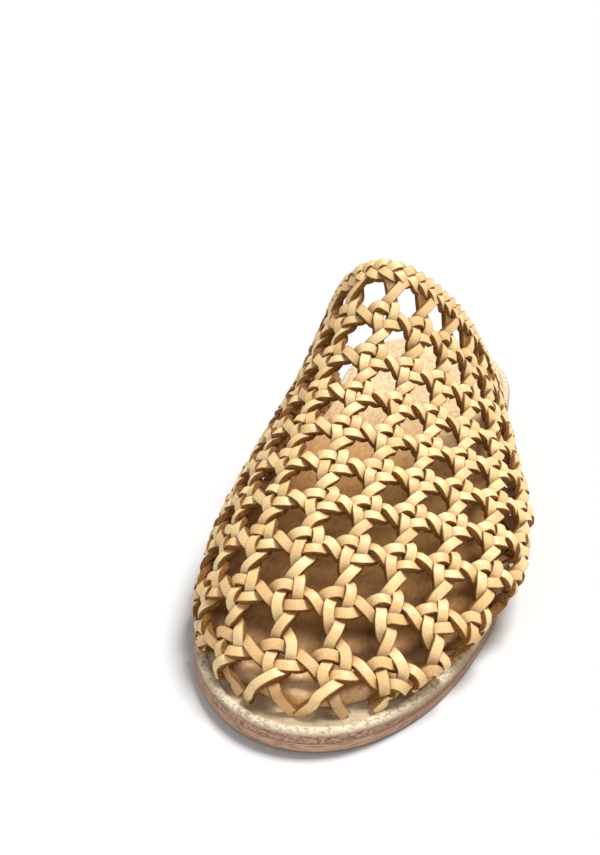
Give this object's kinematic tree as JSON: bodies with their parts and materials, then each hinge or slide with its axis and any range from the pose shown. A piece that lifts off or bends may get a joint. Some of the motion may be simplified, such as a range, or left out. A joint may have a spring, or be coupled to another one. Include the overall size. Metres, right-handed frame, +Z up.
{
  "type": "woven leather mule",
  "caption": "Flat slip-on mule for the left foot, with a closed toe, an open back, an upper woven from flat leather strips in crossing pairs, a braided collar and a thin leather sole.",
  "frame": {"origin": "On the floor, under the middle of the shoe's bounding box.", "axes": "+Z up, +Y from the toe to the heel along the shoe, +X to the outer side of the foot."},
  "size_m": [0.0928, 0.253, 0.0806],
  "materials": {
    "sole_leather": "matt, pinkish brown",
    "welt_leather": "matt, raw cut edge",
    "insole_leather": "matt, suede side up",
    "strip_leather": "satin, natural tan"
  },
  "bodies": {
    "root": {"outsole": "sole_leather", "midsole": "welt_leather", "insole": "insole_leather", "upper": "strip_leather"}
  },
  "joints": []
}
